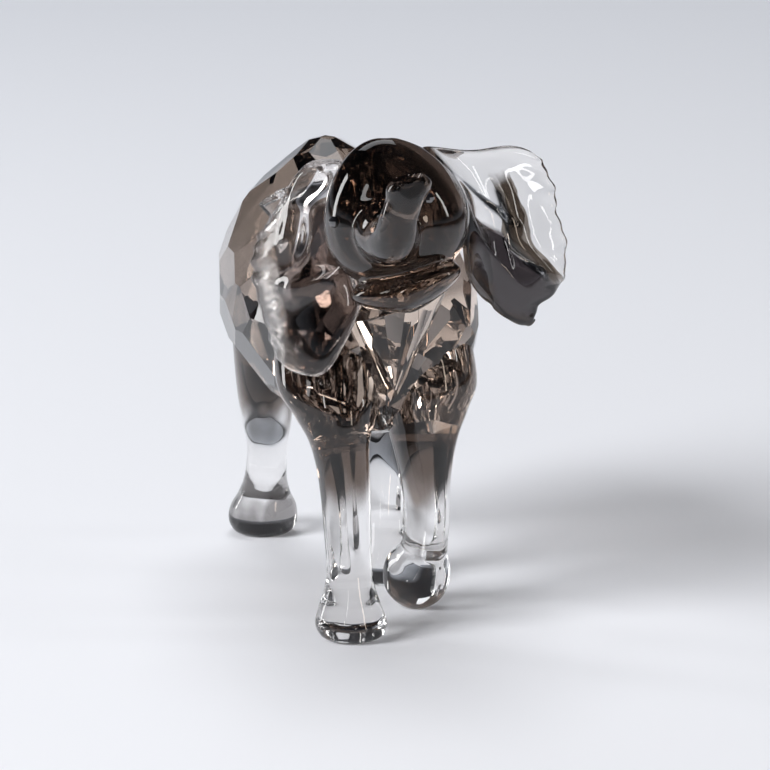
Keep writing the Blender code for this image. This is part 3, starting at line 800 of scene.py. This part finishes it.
# Where one tint gives way to the next: from and to, in metres in the row frame
BACK_RISE, LOW_FALL = (0.070, 0.088), (0.060, 0.050)
SHOULDER_ACROSS, SHOULDER_TOP, SHOULDER_BACK = (-0.002, 0.001), (0.074, 0.070), (0.000, -0.008)
CHEST_MIDDLE, CHEST_WIDENING, CHEST_POINT = -0.006, 0.5, 0.023
CHEST_EDGE, CHEST_FRONT, CHEST_TOP = (0.001, -0.001), (-0.0262, -0.0282), (0.080, 0.076)
RUMP = (0.044, 0.052)
CROWN_RISE, JAW_FALL = (0.094, 0.101), (0.084, 0.080)
LEG_RISE, FOOT_FALL, HIND = (0.0255, 0.036), (0.011, 0.006), (0.030, 0.040)


def sheet_place(tree):
    """Where a point lies on an ear: out from the root, and down from the top edge."""
    place_node = tree.nodes.new("ShaderNodeAttribute")
    place_node.attribute_name = "place_on_sheet"
    split = tree.nodes.new("ShaderNodeSeparateXYZ")
    tree.links.new(place_node.outputs["Vector"], split.inputs["Vector"])
    stir = stirred(tree, object_noise(tree, 130.0, 2.0), 0.14)
    return (sums(tree, "ADD", split.outputs[axis], stir) for axis in "XY")


def off(tree, value, middle):
    """How far a value is from a middle, either way."""
    return sums(tree, "ABSOLUTE", sums(tree, "SUBTRACT", value, middle))


def left_ear_tint(tree, out, down):
    """Painted shade: clear above a slanting line and smoky below it, with a brown streak and a dark root,
    standing in for dark surroundings refracted and reflected in the ear and for shade where it meets the
    head.
    """
    line = sums(tree, "SUBTRACT", down, sums(tree, "MULTIPLY", out, 0.39))
    lower = spread(tree, line, 0.295, 0.325)
    bent = spread(tree, down, 0.44, 0.68, 0.57, 0.92)
    inside = spread(tree, off(tree, out, bent), 0.080, 0.068)
    streak = all_of(tree, inside, spread(tree, down, 0.12, 0.2), spread(tree, down, 0.70, 0.62))
    root = spread(tree, out, 0.13, 0.05)
    painted_shade_patch = all_of(tree, spread(tree, out, 0.34, 0.26), spread(tree, down, 0.74, 0.80))
    rim = spread(tree, down, 0.93, 0.98)
    # Painted shade: the ear darkens below the line, along the streak, at the root, in a patch low by the
    # root and along the bottom edge
    colour = blend(tree, lower, TINT_CLEAR, PAINTED_EAR_SHADE)
    colour = blend(tree, streak, colour, PAINTED_STREAK_SHADE)
    return blend(tree, any_of(tree, root, painted_shade_patch, rim), colour, PAINTED_ROOT_SHADE)


def right_ear_tint(tree, out, down):
    """Painted shade: smoky, standing in for the dark that the ear refracts, with a clear band along the
    margin and two clear places nearer the head.
    """
    band = spread(tree, out, 0.64, 0.68)
    knob = all_of(tree, spread(tree, down, 0.24, 0.18), spread(tree, out, 0.75, 0.6))
    glow_across = spread(tree, off(tree, out, 0.42), 0.2, 0.1)
    glow_down = spread(tree, off(tree, down, 0.34), 0.12, 0.05)
    clear = any_of(tree, band, knob, all_of(tree, glow_across, glow_down))
    # Painted shade: the smoky veil everywhere outside the clear band and places
    return blend(tree, clear, PAINTED_VEIL_SHADE, TINT_BAND)


def ear_crystal(name, side):
    """Clear glass with painted shade: smoky tints laid where the ear refracts and reflects dark
    surroundings.
    """
    material, tree, shader = crystal(name, TINT_CLEAR, SMOKE, 8.0)
    out, down = sheet_place(tree)
    height = object_noise(tree, 70.0, 1.0)
    if side == "left":
        colour = left_ear_tint(tree, out, down)
    else:
        colour = right_ear_tint(tree, out, down)
        tree.links.new(spread(tree, out, 0.66, 0.70, 0.01, 0.17), shader.inputs["Roughness"])
        ripple = sums(tree, "SINE", sums(tree, "MULTIPLY", down, 150.0))
        height = sums(tree, "ADD", all_of(tree, ripple, spread(tree, out, 0.66, 0.74, 0.0, 0.06)), height)
    waved(tree, height, 0.2)
    tree.links.new(colour, shader.inputs["Base Color"])
    return material


def body_crystal(name):
    """Smoky glass with painted light and shade: pale in the chest and the rump, a pale tan highlight on
    the left shoulder, and darkest along the back, where it mirrors the dark room.
    """
    material, tree, shader = crystal(name, TINT_CLEAR, SMOKE, 6.0)
    across, along, height = object_axes(tree)
    # The chest's mask, for painted light
    half = sums(tree, "SUBTRACT", sums(tree, "MULTIPLY", height, CHEST_WIDENING), CHEST_POINT)
    chest = spread(tree, sums(tree, "SUBTRACT", off(tree, across, CHEST_MIDDLE), half), *CHEST_EDGE)
    chest = all_of(tree, chest, spread(tree, along, *CHEST_FRONT), spread(tree, height, *CHEST_TOP))
    # The left shoulder's mask, for a painted highlight
    shoulder = all_of(
        tree,
        spread(tree, across, *SHOULDER_ACROSS),
        spread(tree, height, *SHOULDER_TOP),
        spread(tree, along, *SHOULDER_BACK),
    )
    uneven = spread(tree, object_noise(tree, 38.0, 1.0), 0.3, 0.7)
    colour = blend(tree, uneven, TINT_FLANK, TINT_FLANK_DARK)
    # Painted shade along the back, a painted highlight on the left shoulder, painted light in the chest
    # and the rump
    colour = blend(tree, spread(tree, height, *BACK_RISE), colour, PAINTED_BACK_SHADE)
    colour = blend(tree, spread(tree, height, *LOW_FALL), colour, TINT_LOW)
    colour = blend(tree, shoulder, colour, PAINTED_SHOULDER_HIGHLIGHT)
    colour = blend(tree, any_of(tree, chest, spread(tree, along, *RUMP)), colour, PAINTED_PALE_LIGHT)
    tree.links.new(colour, shader.inputs["Base Color"])
    return material


def head_crystal(name):
    """Dark smoky glass, with painted shade in the crown, where the dome mirrors the dark room, and
    painted light lower down: a little paler in the cheeks and the jaw than in the crown, where they
    mirror the pale floor.
    """
    material, tree, shader = crystal(name, TINT_CLEAR, SMOKE, 42.0)
    height = object_axes(tree)[2]
    # Painted shade in the crown and painted light in the jaw, by height
    colour = blend(tree, spread(tree, height, *CROWN_RISE), TINT_CHEEK, PAINTED_CROWN_SHADE)
    colour = blend(tree, spread(tree, height, *JAW_FALL), colour, PAINTED_JAW_LIGHT)
    tree.links.new(colour, shader.inputs["Base Color"])
    return material


def leg_crystal(name):
    """Clear glass that takes up some smoke in strands where it is bonded to the body."""
    material, tree, shader = crystal(name, TINT_CLEAR, CLEAR_DEPTH, 4.0)
    _, along, height = object_axes(tree)
    height = sums(tree, "ADD", height, stirred(tree, object_noise(tree, 150.0, 1.0, 0.16), 0.034))
    colour = blend(tree, spread(tree, height, *LEG_RISE), TINT_LEG, TINT_LEG_TOP)
    # Painted shade: the sole of the rear right foot is tinted grey
    foot = all_of(tree, spread(tree, height, *FOOT_FALL), spread(tree, along, *HIND))
    colour = blend(tree, foot, colour, PAINTED_HIND_FOOT_SHADE)
    tree.links.new(colour, shader.inputs["Base Color"])
    return material


def tail_crystal(name):
    """Smoky glass of one tint, drawn out and a little uneven."""
    material, tree, shader = crystal(name, TINT_TAIL, SMOKE, 9.0)
    waved(tree, object_noise(tree, 70.0, 1.0), 0.1)
    return material


def jet_stone(name):
    material, tree, shader = node_material(name)
    shader.inputs["Base Color"].default_value = (0.008, 0.008, 0.010, 1.0)
    shader.inputs["IOR"].default_value = JET_STONE
    rough(tree, 900.0, 2.0, 0.005, 0.03, shader.inputs["Roughness"])
    return material


def adhesive_film(name):
    """The cured adhesive, which all but disappears between the two glass faces."""
    material, tree, shader = node_material(name)
    shader.inputs["Base Color"].default_value = (0.9, 0.88, 0.84, 1.0)
    shader.inputs["Alpha"].default_value = 0.04
    rough(tree, 500.0, 2.0, 0.15, 0.4, shader.inputs["Roughness"])
    return material


SMOKY = body_crystal("smoky_crystal_glass")
SMOKY_DARK = head_crystal("smoky_crystal_head")
SMOKY_TAIL = tail_crystal("smoky_crystal_tail")
EAR_CRYSTAL = {side: ear_crystal("smoky_crystal_ear_" + side, side) for side in ("left", "right")}
CLEAR = leg_crystal("clear_crystal_glass")
JET, FILM = jet_stone("jet_stone_glass"), adhesive_film("adhesive_film_clear")

SIDES = (("left", 1), ("right", -1))


def torso_form():
    """Barrel and neck with the shoulders and hips lofted on, ground flat where each leg is bonded."""
    torso = faceted_hull("torso_form", BARREL, BARREL_RINGS, BARREL_SHAPE, (0, -1, 0))
    neck = faceted_hull("neck_form", NECK, NECK_RINGS, NECK_SHAPE, (0, 0, 1))
    for direction in fan_directions((NECK[2], NECK[3]), CHEST_FAN):
        cut_plane(neck, direction * support(direction, NECK) * MM, direction)
    torso = combine(torso, "UNION", neck)
    rooms = []
    for leg in LEGS.values():
        centre, down = seat_of(leg)
        gained = limb("shoulder", leg["stations"])
        cut_plane(gained, centre + down * STUB_OVERLAP * MM, down)
        torso = combine(torso, "UNION", gained)
        room = limb("room", leg["stations"], wider=SEAT_MARGIN)
        cut_plane(room, centre + down * (JOINT_MIDDLE + 0.5 * OVERLAP) * MM, -down)
        rooms.append(room)
    for room in rooms + [head_room()]:
        torso = combine(torso, "DIFFERENCE", room)
    return torso


def head_room():
    """The block that grinds the neck flat behind and under the head."""
    bm = bmesh.new()
    bmesh.ops.create_cube(bm, size=1.0)
    size = Vector((2 * SEAT_ROOM, SEAT_ROOM, SEAT_TOP - SEAT_BOTTOM)) * MM
    bmesh.ops.scale(bm, vec=size, verts=bm.verts)
    back_face = SEAT_DEPTH + JOINT_MIDDLE - 0.5 * OVERLAP
    middle = Vector((0, back_face - SEAT_ROOM / 2, (SEAT_TOP + SEAT_BOTTOM) / 2)) * MM
    bmesh.ops.translate(bm, vec=middle, verts=bm.verts)
    bmesh.ops.transform(bm, matrix=head_frame(), verts=bm.verts)
    return object_from(bm, "neck_seat")


def eye_form(sign):
    """A faceted stone, half sunk in the dome."""
    spot = head_frame() @ (Vector((sign * EYE_PLACE[0], EYE_PLACE[1], EYE_PLACE[2])) * MM)
    return ball("eye", spot / MM, [EYE_RADIUS] * 3, segments=EYE_SEGMENTS, rings=EYE_RINGS)


def leg_form(leg):
    centre, down = seat_of(leg)
    body = limb("leg", leg["stations"])
    cut_plane(body, centre + down * (JOINT_MIDDLE - 0.5 * OVERLAP) * MM, -down)
    return cut_plane(body, (0, 0, 0), (0, 0, -1))


def build_crystal():
    torso = torso_form()
    tail = tube("tail_form", TAIL)
    tail.data.shade_smooth()
    torso = combine(torso, "DIFFERENCE", grown(tail, -OVERLAP * MM))

    head = head_form()
    ears = {side: ear_form(side, sign) for side, sign in SIDES}
    for ear in ears.values():
        for _ in range(EASE_PASSES):
            eased(ear, torso)
        head = combine(head, "DIFFERENCE", grown(ear, -OVERLAP * MM))
    for side, sign in SIDES:
        eye = eye_form(sign)
        head = combine(head, "DIFFERENCE", grown(eye, -OVERLAP * MM))
        place(eye, "jet_eye_" + side, "eye_" + side, JET, "jet_stone")

    # The last number is the angle, in degrees, over which an edge between two faces stays sharp
    place(torso, "crystal_torso", "torso", SMOKY, "smoky_crystal", 12)
    place(head, "crystal_head", "head", SMOKY_DARK, "smoky_crystal", 30)
    place(tail, "crystal_tail", "tail", SMOKY_TAIL, "smoky_crystal", 50)
    for side, ear in ears.items():
        place(ear, "crystal_ear_" + side, "ear_" + side, EAR_CRYSTAL[side], "smoky_crystal", 60)
    for name, leg in LEGS.items():
        place(leg_form(leg), "crystal_leg_" + name, "leg_" + name, CLEAR, "clear_crystal", 30)
    for name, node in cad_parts.items():
        if name.startswith("bond_"):
            node.data.materials.clear()
            node.data.materials.append(FILM)


build_crystal()


# Studio


FLOOR_HALF, FLOOR_BACK, FLOOR_DROP = 6.0, 3.0, 0.00008  # a hair below the soles
FLOOR_NEAR, FLOOR_FAR, FLOOR_UNLIT = (0.82, 0.83, 0.87), (0.80, 0.83, 0.90), (0.05, 0.05, 0.055)
FLOOR_DEPTH, FLOOR_SIDES, FLOOR_FRONT = (-0.25, 1.7), (0.45, 1.1), (-0.45, -0.9)

# The room: its colour at the horizon, and above it from a little way up
HORIZON, DARK_ROOM, HORIZON_TOP = (0.30, 0.32, 0.36), (0.010, 0.010, 0.012), 0.10

# Soft boxes in metres: place, aim, size, watts, colour, and whether the glass mirrors them
WHITE, COOL, WARM = (1, 1, 1), (0.93, 0.96, 1.0), (1.0, 0.84, 0.70)
LIGHTS = {
    "key": ((-2.80, -1.13, 1.96), (0, 0, 0.05), (1.8, 1.6), 144.0, WHITE, False),
    "ceiling": ((0.2, 1.2, 3.6), (0, 0.6, 0), (2.2, 1.6), 62.0, WHITE, False),
    "backdrop": ((0.0, 3.4, 2.6), (0, 1.9, 0), (2.4, 1.6), 13.0, COOL, True),
    "rim_left": ((-0.85, 0.60, 0.30), (0, 0, 0.07), (0.16, 0.6), 2.0, WHITE, True),
    "strip_front": ((-0.62, -0.95, 0.62), (0, 0, 0.08), (0.05, 0.55), 0.9, WHITE, True),
    "strip_right": ((0.95, -0.25, 0.45), (0, 0, 0.07), (0.07, 0.5), 0.9, WHITE, True),
    "strip_key": ((-0.80, -0.32, 0.62), (0, -0.05, 0.09), (0.12, 0.40), 0.6, WHITE, True),
    "warm_right": ((0.50, -0.72, 0.16), (0, -0.03, 0.05), (0.06, 0.24), 0.30, WARM, True),
}


def studio_floor():
    """Pale paper with painted shade: it turns dark, as if unlit, outside the view, so that the glass has
    dark to show.
    """
    bm = bmesh.new()
    bmesh.ops.create_grid(bm, x_segments=1, y_segments=1, size=FLOOR_HALF)
    bmesh.ops.translate(bm, vec=(0, FLOOR_BACK, -FLOOR_DROP), verts=bm.verts)
    floor = object_from(bm, "studio_floor")
    material, tree, shader = node_material("studio_floor_paper")
    across, along, _ = object_axes(tree)
    pale = blend(tree, spread(tree, along, *FLOOR_DEPTH, kind="LINEAR"), FLOOR_NEAR, FLOOR_FAR)
    sides = spread(tree, off(tree, across, 0.0), *FLOOR_SIDES, kind="LINEAR")
    unlit = any_of(tree, sides, spread(tree, along, *FLOOR_FRONT, kind="LINEAR"))
    tree.links.new(blend(tree, unlit, pale, FLOOR_UNLIT), shader.inputs["Base Color"])
    shader.inputs["Roughness"].default_value = 0.5
    floor.data.materials.append(material)


def area_light(name, place, aim, size, power, colour, mirrored):
    """A soft box at a place in metres, that faces another place."""
    light = bpy.data.lights.new(name, "AREA")
    light.energy = power
    light.color = colour
    light.shape = "RECTANGLE"
    light.size, light.size_y = size
    obj = bpy.data.objects.new(name, light)
    obj.location = place
    obj.rotation_euler = (Vector(place) - Vector(aim)).to_track_quat("Z", "Y").to_euler()
    obj.visible_glossy = mirrored
    bpy.context.scene.collection.objects.link(obj)


def studio_world():
    """A dark room, with a pale band low on the horizon."""
    world = bpy.data.worlds.new("studio_room")
    bpy.context.scene.world = world
    world.use_nodes = True
    tree = world.node_tree
    coords = tree.nodes.new("ShaderNodeTexCoord")
    split = tree.nodes.new("ShaderNodeSeparateXYZ")
    ramp = tree.nodes.new("ShaderNodeValToRGB")
    for stop, place, colour in zip(ramp.color_ramp.elements, (0.0, HORIZON_TOP), (HORIZON, DARK_ROOM)):
        stop.position = place
        stop.color = (*colour, 1)
    tree.links.new(coords.outputs["Generated"], split.inputs["Vector"])
    tree.links.new(split.outputs["Z"], ramp.inputs["Fac"])
    tree.links.new(ramp.outputs["Color"], tree.nodes["Background"].inputs["Color"])
    tree.nodes["Background"].inputs["Strength"].default_value = 1.0


def studio_camera():
    around, up = math.radians(VIEW_AZIMUTH), math.radians(VIEW_ELEVATION)
    back = direction_at(math.pi / 2 - up, around)
    right = Vector((math.cos(around), math.sin(around), 0))
    camera = bpy.data.cameras.new("camera")
    camera.lens = VIEW_LENS
    camera.sensor_width = SENSOR_WIDTH
    camera.clip_start = 0.01
    obj = bpy.data.objects.new("camera", camera)
    bpy.context.scene.collection.objects.link(obj)
    turn = Matrix((right, back.cross(right), back)).transposed().to_4x4()
    turn.translation = (VIEW_TARGET + SHIFT + back * VIEW_DISTANCE) * MM
    obj.matrix_world = turn
    bpy.context.scene.camera = obj


studio_floor()
for name, light in LIGHTS.items():
    area_light(name, *light)
studio_world()
studio_camera()

scene = bpy.context.scene
scene.view_settings.view_transform = "Standard"
scene.view_settings.look = "None"
scene.cycles.max_bounces = 32
scene.cycles.transmission_bounces = 32
scene.cycles.glossy_bounces = 12
scene.cycles.transparent_max_bounces = 32
scene.cycles.use_denoising = True
